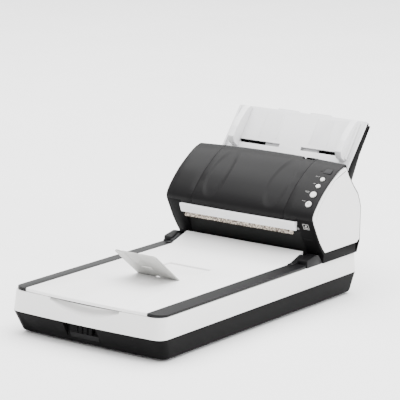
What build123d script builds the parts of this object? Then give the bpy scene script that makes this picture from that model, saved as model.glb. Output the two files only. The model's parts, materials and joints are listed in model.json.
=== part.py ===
from build123d import *
import math
import os

# Flatbed scanner with an automatic document feeder. Millimetres, +Z up, +Y towards the back, +X to the
# right of someone in front of it. Every outline is measured from the front edge of the casing and the
# table, and save() moves it so that the origin is under the middle of the whole object.

# ---- overall sizes ----
HALF_WIDTH = 150.0
CASING_DEPTH = 575.0
FOOT_HEIGHT = 3.5
SEAM_Z = 38.5
DECK_Z = 72.5
WALL = 2.6
FRONT_BOW = 5.0
ORIGIN_Y = 314.29

# ---- flatbed ----
GLASS_HALF_WIDTH = 114.0
GLASS_FRONT = 40.0
GLASS_BACK = 352.0
GLASS_TOP = 66.2
GLASS_THICKNESS = 2.8
CARRIAGE_Y = 384.0
ROD_Z = 36.0
BELT_Z = 24.0
PULLEY_RADIUS = 6.0
BELT_FRONT = 42.0
BELT_BACK = 430.0
BELT_X = -62.0

ROD_FRONT = 36.0
ROD_BACK = 440.0
TRAY_FLOOR = FOOT_HEIGHT + WALL
LOCK_X0, LOCK_X1 = -40.0, 26.0
LOCK_BOTTOM = 13.5
LOCK_BACK_Y = 15.5
USB_X = 70.0
POWER_X = 105.0

# ---- document cover ----
LID_BOTTOM = 73.3
LID_TOP = 78.4
LID_FRONT = 8.5
LID_BOW = 4.5
LID_PAN_TOP = 74.8
LID_HALF_WIDTH = 146.0
PANEL_HALF_WIDTH = 119.5
LID_HINGE_Y = 432.0
LID_HINGE_Z = 82.0
STOPPER_Y = 200.8
STOPPER_LEAN = 38.0
STOPPER_LENGTH = 85.0
STOPPER_HALF_WIDTH = 41.0
STOPPER_THICKNESS = 2.0
STOPPER_HINGE_Z = LID_TOP - 1.5
STOPPER_PIN = 1.1
STOPPER_TRUNNIONS = ((-46.0, -41.0), (41.0, 46.0))

# ---- feeder ----
FEEDER_HALF_WIDTH = 149.0
DOOR_HALF_WIDTH = 93.7
CROWN = 4.0
SKIN = 2.6
PILLAR_INNER = 118.0
DOOR_HINGE_Y = 434.0
DOOR_HINGE_Z = 133.0
LIP_HALF_WIDTH = 117.2
BAND_TOP = 89.0
COVER_BOTTOM = 147.0
PANEL_BOTTOM = 151.2
TAB_X0, TAB_X1 = 68.0, 90.0
TAB_Y = 524.0
TAB_Z = 224.0
TAB_PIN = 1.2

# Points of the cover's outer face at its ends, from the top edge down to the nose, with the direction in
# which each point moves out where the cover is crowned.
COVER_POINTS = [
    ((522.0, 232.0), (-0.2, 0.98)),
    ((508.0, 228.6), (-0.34, 0.94)),
    ((477.0, 212.0), (-0.53, 0.85)),
    ((455.0, 196.4), (-0.62, 0.78)),
    ((438.0, 180.6), (-0.70, 0.71)),
    ((425.5, 166.0), (-0.86, 0.51)),
    ((421.2, 156.0), (-0.98, 0.2)),
    ((421.8, 151.0), (-1.0, 0.0)),
    ((422.6, COVER_BOTTOM), (-1.0, 0.0)),
]

# ---- paper path: a slanted run, an arc and a nearly level run to the exit ----
CHUTE_Y = 571.0
CHUTE_Z = 225.1
CHUTE_SLOPE = 53.3
SLANT_END = 75.0
PATH_RADIUS = 70.0
EXIT_SLOPE = 12.0

# ---- chute ----
CHUTE_HALF_WIDTH = 130.0
CHUTE_TOP = 80.0
GUIDE_INNER = 105.0
GUIDE_THICKNESS = 12.0
GUIDE_WALL = 2.0
GUIDE_FOOT_X0 = 106.0
GUIDE_FOOT_X1 = 111.0
GUIDE_SLOT = 12.0
GUIDE_OUTLINE = [
    (0, 0.2), (0, 14), (7, 22.5), (28, 21.5), (44, 19.0), (60, 15.0), (70, 11.5), (77, 6.0), (78, 0.2),
]
GUIDE_HOLLOW = [
    (2, -1.0), (2, 13.2), (8, 20.3), (28, 19.3), (43, 17.0), (59, 13.0), (69, 9.5), (75, 4.7), (75.8, -1.0),
]
RACK_MODULE = 1.5
PINION_TEETH = 18
PITCH_RADIUS = RACK_MODULE * PINION_TEETH / 2
RACK_LAYER = (-6.6, -3.5)
RACK_PHASE = -0.35 * math.pi * RACK_MODULE

# ---- operator panel: (y, z, radius) of each button on the surface ----
PANEL_X = 134.0
BUTTONS = {
    "function_button": (474.9, 211.6, 4.3),
    "stop_button": (461.4, 202.3, 4.3),
    "scan_button": (447.1, 190.5, 6.0),
    "power_button": (433.1, 176.6, 5.7),
}
WINDOW_Y = 491.2
WINDOW_Z = 221.6

# ---- rollers: distance down the slope or along the exit, radius and rubber tyres' half spans ----
PICK_ALONG = -52.0
PICK_RADIUS = 11.0
BRAKE_RADIUS = 9.0
FEED_ANGLE = 44.0
FEED_RADIUS = 8.0
PINCH_RADIUS = 6.0
EJECT_DISTANCE = 22.0
EJECT_RADIUS = 7.0
SCAN_ANGLE = 27.0
PICK_TYRES = ((-24.0, -6.0), (6.0, 24.0))
FEED_TYRES = ((-78.0, -54.0), (-12.0, 12.0), (54.0, 78.0))
FRAME_X0, FRAME_X1 = 131.5, 134.5

RUN_GAP = 0.06
GAP = 0.4


# ---------------------------------------------------------------- helpers
def block(x0, x1, y0, y1, z0, z1):
    """A box between two corners."""
    centre = Pos((x0 + x1) / 2, (y0 + y1) / 2, (z0 + z1) / 2)
    return centre * Box(x1 - x0, y1 - y0, z1 - z0)


def rod(x0, x1, y, z, radius):
    """A cylinder along X."""
    return Pos((x0 + x1) / 2, y, z) * Rot(0, 90, 0) * Cylinder(radius, x1 - x0)


def side_plate(points, x0, x1):
    """A polygon of (y, z) points, extruded along X from x0 to x1."""
    face = make_face(Polyline(*points, close=True))
    plane = Plane(origin=(x0, 0, 0), x_dir=(0, 1, 0), z_dir=(1, 0, 0))
    return extrude(plane * face, x1 - x0)


def both_sides(shape):
    """A shape and its mirror image about the middle plane."""
    return shape + mirror(shape, about=Plane.YZ)


def slope_vectors(angle):
    """Unit vectors up a slope and out of its front, as (y, z), for a slope leaning back."""
    a = math.radians(angle)
    return (math.cos(a), math.sin(a)), (-math.sin(a), math.cos(a))


UP_CHUTE, OUT_CHUTE = slope_vectors(CHUTE_SLOPE)
CHUTE_PLANE = Plane(
    origin=(0, CHUTE_Y, CHUTE_Z),
    x_dir=(1, 0, 0),
    z_dir=(0, OUT_CHUTE[0], OUT_CHUTE[1]),
)


def chute_point(along, out=0.0):
    """A (y, z) point on the chute: along is up the slope, out is in front of the paper."""
    y = CHUTE_Y + along * UP_CHUTE[0] + out * OUT_CHUTE[0]
    z = CHUTE_Z + along * UP_CHUTE[1] + out * OUT_CHUTE[1]
    return y, z


def chute_block(x0, x1, along0, along1, out0, out1):
    """A box lying on the slope of the chute."""
    middle = Pos((x0 + x1) / 2, (along0 + along1) / 2, (out0 + out1) / 2)
    return CHUTE_PLANE * middle * Box(x1 - x0, along1 - along0, out1 - out0)


def arc_centre():
    """Centre of the paper path's arc, as (y, z)."""
    return chute_point(-SLANT_END, PATH_RADIUS)


def path_arc_point(angle, out=0.0):
    """A (y, z) point of the arc; angle is the slope of the path there, out is in front of it."""
    y, z = arc_centre()
    a = math.radians(angle)
    radius = PATH_RADIUS - out
    return y + radius * math.sin(a), z - radius * math.cos(a)


def exit_point(distance, out=0.0):
    """A (y, z) point of the level run, distance in front of the arc's end."""
    y, z = path_arc_point(EXIT_SLOPE, out)
    a = math.radians(EXIT_SLOPE)
    return y - distance * math.cos(a), z - distance * math.sin(a)


def path_strip(along0, distance1, out0, out1, x0, x1):
    """A curved plate that follows the paper path between two offsets from it."""
    steps = [CHUTE_SLOPE - i * (CHUTE_SLOPE - EXIT_SLOPE) / 8 for i in range(9)]
    near = [chute_point(along0, out0)]
    near += [path_arc_point(a, out0) for a in steps]
    near += [exit_point(distance1, out0)]
    far = [chute_point(along0, out1)]
    far += [path_arc_point(a, out1) for a in steps]
    far += [exit_point(distance1, out1)]
    return side_plate(near + far[::-1], x0, x1)


NODES = {}


def save(name, shape):
    """Keep a node, moved so that the origin is under the middle of the object."""
    solids = [s.moved(Location((0, -ORIGIN_Y, 0))) for s in shape.solids()]
    NODES[name] = solids
    whole = Compound(children=solids) if len(solids) > 1 else solids[0]
    whole.label = name
    export_step(whole, f"parts/{name}.step")


# ---------------------------------------------------------------- flatbed casing
def casing_outline(z, half_width, front, back, bow, radius):
    """Plan outline of the casing at height z, with a front edge that bows forward."""
    line = Polyline((half_width, front), (half_width, back), (-half_width, back), (-half_width, front))
    arc = ThreePointArc((-half_width, front), (0, front - bow), (half_width, front))
    face = make_face(line + arc)
    return Pos(0, 0, z) * fillet(face.vertices(), radius)


def casing_loft(bottom, top):
    return loft([casing_outline(*bottom), casing_outline(*top)], ruled=True)


def base_pan():
    """Lower casing: an open tray that leans outward to the seam."""
    top_z = SEAM_Z - 0.3
    outer = casing_loft(
        (FOOT_HEIGHT, 143.5, 22.9, 565.0, 2.5, 14.0),
        (top_z, HALF_WIDTH, 5.0, CASING_DEPTH, FRONT_BOW, 18.0),
    )
    outer = fillet(outer.faces().sort_by(Axis.Z)[0].edges(), 5.0)
    inner = casing_loft(
        (FOOT_HEIGHT + WALL, 140.5, 25.9, 562.0, 2.5, 11.0),
        (top_z + 0.01, HALF_WIDTH - WALL, 5.0 + WALL, CASING_DEPTH - WALL, FRONT_BOW, 15.4),
    )
    pan = outer - inner
    pan += block(-46, 32, 10.5, 24, 9, top_z) & outer
    pan -= block(LOCK_X0, LOCK_X1, 0, LOCK_BACK_Y, LOCK_BOTTOM, top_z + 1)
    pan -= block(-28, 14, LOCK_BACK_Y - 1, 19.5, 25.0, 33.0)
    pan += lock_sill()
    pan -= block(USB_X - 7, USB_X + 7, 550, 580, 15, 27)
    pan -= Pos(POWER_X, 560, 21) * Rot(90, 0, 0) * Cylinder(5.5, 60)
    for x in (-120, 120):
        for y in (60, 530):
            boss = Pos(x, y, 20) * Cylinder(4.0, 33)
            pan += boss & outer
            pan -= Pos(x, y, 20) * Cylinder(1.3, 60)
            pan -= Pos(x, y, FOOT_HEIGHT) * Cylinder(3.2, 4)
    for y in (ROD_FRONT, ROD_BACK):
        pan += block(-8, 8, y - 5, y + 5, TRAY_FLOOR - 1, ROD_Z + 6)
    return pan - guide_rod()


def lock_sill():
    """Ledge that leans back across the bottom of the lock's recess."""
    back = LOCK_BACK_Y + 0.5
    low = LOCK_BOTTOM - 0.5
    return side_plate([(14.8, low), (11.8, 22.5), (back, 22.5), (back, low)], LOCK_X0 + 6, LOCK_X1 - 1)


def bed_frame():
    """Upper casing: the rim, the deck around the glass and a finger scoop in the front wall."""
    bottom = (SEAM_Z + 0.3, HALF_WIDTH, 5.0, CASING_DEPTH, FRONT_BOW, 18.0)
    top = (DECK_Z, 147.0, 9.0, CASING_DEPTH - 2.0, FRONT_BOW, 16.0)
    outer = casing_loft(bottom, top)
    inner = casing_loft(
        (SEAM_Z, HALF_WIDTH - WALL, 7.6, CASING_DEPTH - WALL, FRONT_BOW, 15.4),
        (DECK_Z - 3.0, 147.0 - WALL, 11.6, CASING_DEPTH - WALL - 2, FRONT_BOW, 13.4),
    )
    well = block(-124, 124, 34, 380, GLASS_TOP - GLASS_THICKNESS - 3, DECK_Z)
    frame = outer - inner + well
    frame -= block(-118, 118, 38, 354, GLASS_TOP, DECK_Z + 1)
    frame -= block(-114.2, 114.2, 39.8, 352.2, GLASS_TOP - GLASS_THICKNESS - 0.1, DECK_Z)
    frame -= block(-110, 110, 44, 348, 40, DECK_Z)
    frame -= block(-110, 110, 358, 376, 40, GLASS_TOP)
    backing = block(-74, 74, 5, 26, 50, DECK_Z - 1) & outer
    frame += backing
    return frame - finger_scoop()


def finger_scoop():
    """Lens-shaped scoop whose floor rises towards the back under the cover's front edge."""
    arc = ThreePointArc((-68, 63.5), (0, 50.5), (68, 63.5))
    top = Polyline((68, 63.5), (68, 90.0), (-68, 90.0), (-68, 63.5))
    plane = Plane(origin=(0, -2, 0), x_dir=(1, 0, 0), z_dir=(0, -1, 0))
    rise = math.radians(35)
    return extrude(plane * make_face(arc + top), 23, dir=(0, math.cos(rise), math.sin(rise)))


def scan_glass():
    return block(-GLASS_HALF_WIDTH, GLASS_HALF_WIDTH, GLASS_FRONT, GLASS_BACK,
                 GLASS_TOP - GLASS_THICKNESS, GLASS_TOP)


def reference_strip():
    """White calibration strip under the deck behind the glass."""
    z = GLASS_TOP - GLASS_THICKNESS - 3
    return block(-108, 108, 359, 374, z + 0.6, z + 1.6)


def rubber_feet():
    """Four round pads pressed against the floor of the tray."""
    feet = [Pos(x, y, FOOT_HEIGHT / 2) * Cylinder(9.0, FOOT_HEIGHT) for x in (-115, 115) for y in (48, 470)]
    return Compound(children=[fillet(f.edges().sort_by(Axis.Z)[0], 0.8) for f in feet])


def casing_screws():
    """Four screws that hold the two casings together."""
    screws = []
    for x in (-120, 120):
        for y in (60, 530):
            shank = Pos(x, y, 14) * Cylinder(1.25, 18)
            head = Pos(x, y, FOOT_HEIGHT + 1.0) * Cylinder(2.6, 1.9)
            slot = block(x - 2, x + 2, y - 0.4, y + 0.4, FOOT_HEIGHT, FOOT_HEIGHT + 0.7)
            screws.append(shank + head - slot)
    return Compound(children=screws)


def lock_slider():
    """Transport lock: a thumb block with three grooves in the front recess."""
    slider = block(-33, 11, 10.6, LOCK_BACK_Y - GAP, 23.2, 35.5)
    slider = chamfer(slider.faces().sort_by(Axis.Y)[0].edges(), 0.8)
    slider += block(-18, -2, 13.0, 19.2, 25.8, 32.2)
    for x in (-16.5, -6.5, 3.5):
        slider -= block(x - 1.3, x + 1.3, 9.0, 13.0, 22.0, 37.0)
    return slider


# ---------------------------------------------------------------- flatbed mechanism
def guide_rod():
    middle = Pos(0, (ROD_FRONT + ROD_BACK) / 2, ROD_Z)
    return middle * Rot(90, 0, 0) * Cylinder(4.0, ROD_BACK - ROD_FRONT + 8)


def scan_carriage():
    """Scan head that rides along the rod, with a bushing below and a belt clamp."""
    head = block(-118, 118, CARRIAGE_Y - 15, CARRIAGE_Y + 15, 41.5, 57.0)
    head -= block(-112, 112, CARRIAGE_Y - 11, CARRIAGE_Y + 11, 45, 58)
    bush = block(-12, 12, CARRIAGE_Y - 15, CARRIAGE_Y + 15, ROD_Z - 7, 42)
    bush -= Pos(0, CARRIAGE_Y, ROD_Z) * Rot(90, 0, 0) * Cylinder(4.0 + RUN_GAP, 60)
    clamp = block(BELT_X - 6, BELT_X + 6, CARRIAGE_Y - 8, CARRIAGE_Y + 8, BELT_Z + PULLEY_RADIUS + 2.2, 42)
    return head + bush + clamp


def carriage_lamp():
    """Clear light bar and lens cover on top of the scan head."""
    bar = block(-111.9, 111.9, CARRIAGE_Y - 10.9, CARRIAGE_Y + 10.9, 52.5, 58.5)
    return chamfer(bar.edges().filter_by(Axis.X).group_by(Axis.Z)[-1], 2.0)


def pulley(y):
    """A toothed belt pulley between two flanges, on an axle stub bore."""
    wheel = rod(BELT_X - 4, BELT_X + 4, y, BELT_Z, PULLEY_RADIUS - 0.3)
    wheel += rod(BELT_X - 5, BELT_X - 4, y, BELT_Z, PULLEY_RADIUS + 2.6)
    wheel += rod(BELT_X + 4, BELT_X + 5, y, BELT_Z, PULLEY_RADIUS + 2.6)
    teeth = 18
    for i in range(teeth):
        a = math.radians(i * 360 / teeth)
        wheel -= rod(BELT_X - 3.9, BELT_X + 3.9, y + PULLEY_RADIUS * math.cos(a),
                     BELT_Z + PULLEY_RADIUS * math.sin(a), 0.55)
    return wheel - rod(BELT_X - 6, BELT_X + 6, y, BELT_Z, 2.0 + RUN_GAP)


def drive_belt():
    """A closed loop around both pulleys."""
    loop = belt_loop(PULLEY_RADIUS + 1.6) - belt_loop(PULLEY_RADIUS + 0.3)
    return loop


def belt_loop(radius):
    ends = rod(BELT_X - 3, BELT_X + 3, BELT_FRONT, BELT_Z, radius)
    ends += rod(BELT_X - 3, BELT_X + 3, BELT_BACK, BELT_Z, radius)
    return ends + block(BELT_X - 3, BELT_X + 3, BELT_FRONT, BELT_BACK, BELT_Z - radius, BELT_Z + radius)


def carriage_motor():
    """Stepper motor beside the rear pulley, with its shaft through the pulley, on a floor bracket."""
    can = rod(BELT_X + 8, BELT_X + 34, BELT_BACK, BELT_Z, 17.0)
    shaft = rod(BELT_X - 8, BELT_X + 9, BELT_BACK, BELT_Z, 2.0)
    foot = block(BELT_X + 8, BELT_X + 34, BELT_BACK - 14, BELT_BACK + 14, TRAY_FLOOR, 12)
    return can + shaft + foot


def idler_bracket():
    """Floor bracket with the axle of the front pulley."""
    plate = block(BELT_X + 6.5, BELT_X + 9.5, BELT_FRONT - 8, BELT_FRONT + 8, TRAY_FLOOR, BELT_Z + 6)
    return plate + rod(BELT_X - 7, BELT_X + 8, BELT_FRONT, BELT_Z, 2.0)


def main_board():
    """Circuit board on the floor of the tray, with its larger components."""
    z = TRAY_FLOOR + 3
    board = block(20, 110, 455, 540, z, z + 1.6)
    board += block(50, 72, 480, 502, z + 1.6, z + 4)
    board += block(90, 102, 470, 500, z + 1.6, z + 8)
    for x, y in ((26, 462), (104, 462), (26, 533), (104, 533)):
        board += Pos(x, y, z - 1.5) * Cylinder(2.5, 3)
    return board


def usb_socket():
    """Square data socket just inside the rear wall."""
    shell = block(USB_X - 6, USB_X + 6, 546, 561, 15.6, 26.4)
    shell -= block(USB_X - 4.5, USB_X + 4.5, 549, 562, 17, 25)
    return shell + block(USB_X - 2.8, USB_X + 2.8, 548, 558, 19.5, 22.5)


def power_inlet():
    """Round low-voltage inlet with its centre pin; the cord isn't part of the object."""
    body = block(POWER_X - 6, POWER_X + 6, 546, 561, 14.5, 27.5)
    body -= Pos(POWER_X, 557, 21) * Rot(90, 0, 0) * Cylinder(4.0, 12)
    return body + Pos(POWER_X, 555.5, 21) * Rot(90, 0, 0) * Cylinder(1.0, 9)


# ---------------------------------------------------------------- document cover
def panel_plan(half_width, front, back, bow, z0, z1):
    """A plate whose front edge bows forward like the casing's."""
    line = Polyline((half_width, front), (half_width, back), (-half_width, back), (-half_width, front))
    arc = ThreePointArc((-half_width, front), (0, front - bow), (half_width, front))
    return extrude(Pos(0, 0, z0) * make_face(line + arc), z1 - z0)


def lid_panel():
    """Light top panel: flat, then ramped up in front of the feeder."""
    outline = [
        (-5, LID_BOTTOM), (404, LID_BOTTOM), (442, 86.0), (443, 92.4),
        (440, 91.8), (397, LID_TOP), (-5, LID_TOP),
    ]
    panel = side_plate(outline, -PANEL_HALF_WIDTH, PANEL_HALF_WIDTH)
    panel &= panel_plan(PANEL_HALF_WIDTH, LID_FRONT, 460, LID_BOW, 60, 100)
    front = panel.edges().filter_by(GeomType.BSPLINE) + panel.edges().filter_by(GeomType.CIRCLE)
    panel = fillet(front.group_by(Axis.Z)[-1], 1.6)
    panel -= block(-116, 116, 16, 396, LID_BOTTOM - 1, LID_PAN_TOP)
    recess_depth = STOPPER_THICKNESS + 0.7
    panel -= block(-STOPPER_HALF_WIDTH - 1, STOPPER_HALF_WIDTH + 1, STOPPER_Y - 4.6,
                   STOPPER_Y + STOPPER_LENGTH + 2, LID_TOP - recess_depth, LID_TOP + 5)
    for x0, x1 in STOPPER_TRUNNIONS:
        panel -= rod(x0 - 0.5, x1 + 0.5, STOPPER_Y, STOPPER_HINGE_Z, STOPPER_PIN + 0.25)
    return panel


def lid_pan():
    """White tray under the panel that carries the document pad."""
    return block(-115.8, 115.8, 16.2, 395.8, LID_BOTTOM, LID_PAN_TOP - 0.05)


def document_pad():
    """Soft white pad that presses paper on the glass."""
    pad = block(-113, 113, 43, 348, GLASS_TOP + 0.4, LID_BOTTOM - 0.05)
    return fillet(pad.edges().filter_by(Axis.Z), 3.0)


def lid_rail(side):
    """Dark side rail with a sloping top, a rounded front corner and an arm to the hinge."""
    x0, x1 = PANEL_HALF_WIDTH + 0.1, LID_HALF_WIDTH
    outline = [
        (-5, LID_BOTTOM), (411, LID_BOTTOM), (411, 77.7), (409, 80.6), (403.7, 82.4),
        (394, 81.0), (385.7, LID_TOP), (-5, LID_TOP),
    ]
    rail = side_plate(outline, x0, x1)
    corner = 20.0
    plan = panel_plan(LID_HALF_WIDTH, LID_FRONT + 0.6, 460, LID_BOW + 1.5, 60, 100)
    front_edge = plan.edges().filter_by(Axis.Z).group_by(Axis.Y)[0]
    rail &= fillet(front_edge, corner)
    drop = math.degrees(math.atan2(1.5, x1 - x0))
    wedge = Pos(x0, 200, LID_TOP) * Rot(0, drop, 0) * Pos(30, -10, 5) * Box(80, 440, 10)
    rail -= wedge
    rail += block(x0, x0 + 9.9, 396, 411, 76, 80)
    arm = side_plate([(408, 74), (426, 78.5), (432, 75), (438, 80), (432, 88.8), (408, 81)], x0, x0 + 9.9)
    arm += rod(x0, x0 + 9.9, LID_HINGE_Y, LID_HINGE_Z, 7.0)
    arm -= rod(x0 - 1, x0 + 12, LID_HINGE_Y, LID_HINGE_Z, 2.5 + RUN_GAP)
    rail = rail + arm
    return rail if side > 0 else mirror(rail, about=Plane.YZ)


def stopper_flap():
    """Stacker stopper: a thin plate that leans forward on two trunnions and folds flat backwards."""
    z0 = -STOPPER_THICKNESS / 2
    plate = Pos(0, STOPPER_LENGTH / 2, 0) * Box(2 * STOPPER_HALF_WIDTH, STOPPER_LENGTH, STOPPER_THICKNESS)
    plate = chamfer(plate.edges().filter_by(Axis.Z).group_by(Axis.Y)[-1], 3.0)
    plate -= Pos(-4, 37, 0) * extrude(SlotOverall(22, 4.2), 4, both=True)
    plate -= Cylinder(5.0, 6)
    plate -= Pos(-20, STOPPER_LENGTH - 15.5, -z0) * Box(1.2, 29, 0.8)
    for x in (-28, 6):
        plate -= Pos(x, STOPPER_LENGTH, 0) * Box(6, 2.4, 4)
    for x0, x1 in STOPPER_TRUNNIONS:
        plate += rod(x0 - 1 if x0 > 0 else x0, x1 if x0 > 0 else x1 + 1, 0, 0, STOPPER_PIN)
    plate = Rot(180 - STOPPER_LEAN, 0, 0) * plate
    return Pos(0, STOPPER_Y, STOPPER_HINGE_Z) * plate


def hinge_brackets():
    """Two brackets on the deck that hold the cover's hinge pins."""
    x0 = PANEL_HALF_WIDTH + 10.4
    bracket = side_plate(
        [
            (413.6, DECK_Z), (413.6, 84.5), (418, 86), (439.5, 90), (447.9, 88.7), (459.8, 75),
            (459.8, DECK_Z),
        ],
        x0, 147.0,
    )
    bracket -= rod(x0 - 1, x0 + 9.6, LID_HINGE_Y, LID_HINGE_Z, 2.5)
    return both_sides(bracket)


def lid_hinge_pins():
    x0 = PANEL_HALF_WIDTH + 0.6
    pin = rod(x0, x0 + 19, LID_HINGE_Y, LID_HINGE_Z, 2.5)
    return both_sides(pin)


# ---------------------------------------------------------------- feeder covers
def cover_section(x, crown, closing):
    """Closed outline at x: the crowned curve, then straight closing lines behind it."""
    curve = [(y + crown * a, z + crown * b) for (y, z), (a, b) in COVER_POINTS]
    front = Spline(*curve)
    back = Polyline(curve[-1], *closing, curve[0])
    plane = Plane(origin=(x, 0, 0), x_dir=(0, 1, 0), z_dir=(1, 0, 0))
    return plane * make_face(front + back)


def crown_at(x):
    return CROWN * (1 - (x / FEEDER_HALF_WIDTH) ** 2)


def cover_solid(inset, closing):
    """Crowned solid across the feeder's whole width, drawn in by inset."""
    stations = [FEEDER_HALF_WIDTH * i / 2 for i in (-2, -1, 0, 1, 2)]
    return loft([cover_section(x, crown_at(x) - inset, closing) for x in stations])


def cover_skin():
    """Shell that the door and both end covers are cut from."""
    outer = cover_solid(0.0, [(531.4, COVER_BOTTOM), (531.4, 216.0), (526.0, 229.0)])
    closing = [(425.0, 140.0), (545.0, 140.0), (545.0, 212.0), (528.4, 212.0), (522.6, 226.6)]
    return outer - cover_solid(SKIN, closing)


def slice_x(shape, x0, x1):
    return shape & block(x0, x1, 380, 600, 60, 300)


def adf_door(skin):
    """Middle part of the cover, which opens forward; a notch at the top holds the release tab."""
    door = slice_x(skin, -DOOR_HALF_WIDTH, DOOR_HALF_WIDTH)
    door -= block(TAB_X0 - 0.5, TAB_X1 + 0.5, TAB_Y - 10.5, 540, 212, 245)
    for x in (TAB_X0 - 3.5, TAB_X1 + 0.5):
        door += block(x, x + 3.0, TAB_Y - 3.5, TAB_Y + 3.5, TAB_Z - 3, TAB_Z + 5)
    return door - rod(TAB_X0 - 4, TAB_X1 + 4, TAB_Y, TAB_Z, TAB_PIN + RUN_GAP)


def release_tab():
    """Rocker that unlatches the door, with a short trunnion at each end."""
    profile = [
        (514.6, 226.5), (519, 221.5), (527.5, 221), (529, 229.5), (529, 233), (525, 231.5), (514.6, 230.2),
    ]
    tab = side_plate(profile, TAB_X0, TAB_X1)
    tab += block(TAB_X0 + 4, TAB_X1 - 4, 521.2, 524.4, 215.5, 222)
    return tab + rod(TAB_X0 - 3, TAB_X1 + 3, TAB_Y, TAB_Z, TAB_PIN)


def panel_normal(y, z):
    """Outward direction of the cover's face near a point, from the chord of the two nearest points."""
    points = sorted(COVER_POINTS, key=lambda p: math.hypot(p[0][0] - y, p[0][1] - z))[:2]
    (y0, z0), (y1, z1) = sorted(p[0] for p in points)
    length = math.hypot(y1 - y0, z1 - z0)
    return -(z1 - z0) / length, (y1 - y0) / length


def panel_place(y, z):
    """Plane on the operator panel's face, with its normal pointing out."""
    ny, nz = panel_normal(y, z)
    return Plane(origin=(PANEL_X, y, z), x_dir=(1, 0, 0), z_dir=(0, ny, nz))


def push_button(y, z, radius):
    """Domed cap on a stem with a retaining flange under the panel."""
    cap = Pos(0, 0, -1.2) * Cylinder(radius - 0.25, 6.0)
    cap = fillet(cap.edges().sort_by(Axis.Z)[-1], 0.8)
    flange = Pos(0, 0, -4.7) * Cylinder(radius + 0.9, 1.0)
    return panel_place(y, z) * (cap + flange)


def end_cover(skin, side):
    x0, x1 = sorted((side * (DOOR_HALF_WIDTH + 0.5), side * FEEDER_HALF_WIDTH))
    over_pillar = block(PILLAR_INNER - 0.4, 150, 380, 600, 100, PANEL_BOTTOM)
    cover = slice_x(skin, x0, x1) - both_sides(over_pillar)
    return cover - both_sides(side_plate(side_outline(), 145.4, 150.0))


def operator_panel(skin):
    panel = end_cover(skin, 1)
    for y, z, radius in BUTTONS.values():
        panel -= panel_place(y, z) * Cylinder(radius, 12)
    return panel - panel_place(WINDOW_Y, WINDOW_Z) * extrude(window_face(0.1), 6, both=True)


def window_face(margin):
    """Arch-shaped window outline."""
    face = Pos(0, -1) * Rectangle(14 + 2 * margin, 7 + 2 * margin) + Pos(0, 2.5) * Circle(7 + margin)
    return face & Rectangle(30, 15 + 2 * margin)


def display_window():
    lens = panel_place(WINDOW_Y, WINDOW_Z) * Pos(0, 0, -3.0) * extrude(window_face(0.0), 3.6)
    return lens


def side_outline():
    """Outline of a white side cover, inside the rim of the dark covers."""
    return [
        (520.0, 226.8), (508.0, 224.2), (477.8, 208.4), (456.6, 193.2), (440.2, 178.0),
        (427.8, 164.2), (424.2, 155.6), (426.8, 146.6), (434.6, 132.6), (447.4, 111.0), (458.4, 97.0),
        (465.6, 89.6), (566.0, 89.6), (574.8, 95.0), (575.2, 149.6), (571.4, 161.0), (564.6, 175.0),
        (550.8, 189.6), (535.0, 209.4), (525.0, 226.0),
    ]


def groove(path, width, x0, x1):
    """A strip of the given width along a (y, z) path, to be cut into a side face."""
    lower = [(y + width, z - width) for y, z in path]
    return side_plate(path + lower[::-1], x0, x1)


def side_cover(side):
    """White panel with a softened rim."""
    panel = side_plate(side_outline(), 145.6, 149.2)
    rim = panel.faces().sort_by(Axis.X)[-1].edges()
    panel = chamfer(rim, 0.7)
    path = [(523.0, 221.0), (491.0, 210.6), (470.0, 196.0), (449.0, 177.0), (436.5, 161.0), (434.5, 151.0)]
    panel -= groove(path, 1.0, 148.2, 150.0)
    return panel if side > 0 else mirror(panel, about=Plane.YZ)


def feeder_base_cover():
    """Dark lower cover: a band around the foot of the feeder and two front pillars."""
    band = block(-149, 149, 461, 562, DECK_Z + 0.1, BAND_TOP)
    band -= block(-145.4, 145.4, 455, 570, DECK_Z - 1, BAND_TOP + 1)
    return band + both_sides(pillar())


def pillar():
    """Right front pillar, which fills the corner under the nose and carries the door's hinge pin."""
    shape = side_plate(
        [
            (422.0, 150.9), (423.7, 147.0), (431.0, 133.5), (441.0, 114.7), (452.0, 98.6), (461.0, 86.6),
            (460.5, DECK_Z + 0.1), (474.0, DECK_Z + 0.1), (474.0, 100.0), (446.0, 150.9),
        ],
        PILLAR_INNER, 149.0,
    )
    shape -= side_plate(side_outline(), 145.4, 150.0)
    return shape - rod(PILLAR_INNER - 1, PILLAR_INNER + 8, DOOR_HINGE_Y, DOOR_HINGE_Z, 2.0 + RUN_GAP)


def rear_cover():
    """Dark rear wall with a sloping shoulder at each side of the chute."""
    outer = [
        (562.2, DECK_Z + 0.1), (568.0, DECK_Z + 0.1), (576.6, 92.0), (577.0, 150.0), (573.0, 162.0),
        (566.0, 176.2), (552.0, 191.0), (536.0, 211.0),
    ]
    inner = [(534.0, 209.4), (550.0, 189.4), (563.6, 174.6), (570.4, 161.0), (574.2, 149.6), (573.8, 93.0),
             (566.4, 76.0), (562.2, 76.0)]
    cover = side_plate(outer + inner, -148.8, 148.8)
    cover -= rod(-FRAME_X1 - 2, FRAME_X1 + 2, *pick_centre(), 3.8)
    cover -= block(-132.5, 132.5, 500, 561.0, 168, 240)
    cover -= both_sides(side_plate(side_outline(), 145.4, 150.0))
    for i in range(9):
        x = -64 + 16 * i
        cover -= block(x - 5, x + 5, 560, 580, 104, 107.5)
        cover -= block(x - 5, x + 5, 560, 580, 112, 115.5)
    return cover


# ---------------------------------------------------------------- feeder mechanism
def pick_centre():
    return chute_point(PICK_ALONG, -PICK_RADIUS - 0.2)


def brake_centre():
    return chute_point(PICK_ALONG, BRAKE_RADIUS + 0.2)


def feed_centre():
    return path_arc_point(FEED_ANGLE, -FEED_RADIUS - 0.2)


def pinch_centre():
    return path_arc_point(FEED_ANGLE, PINCH_RADIUS + 0.2)


def eject_centre():
    return exit_point(EJECT_DISTANCE, -EJECT_RADIUS - 0.2)


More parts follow.
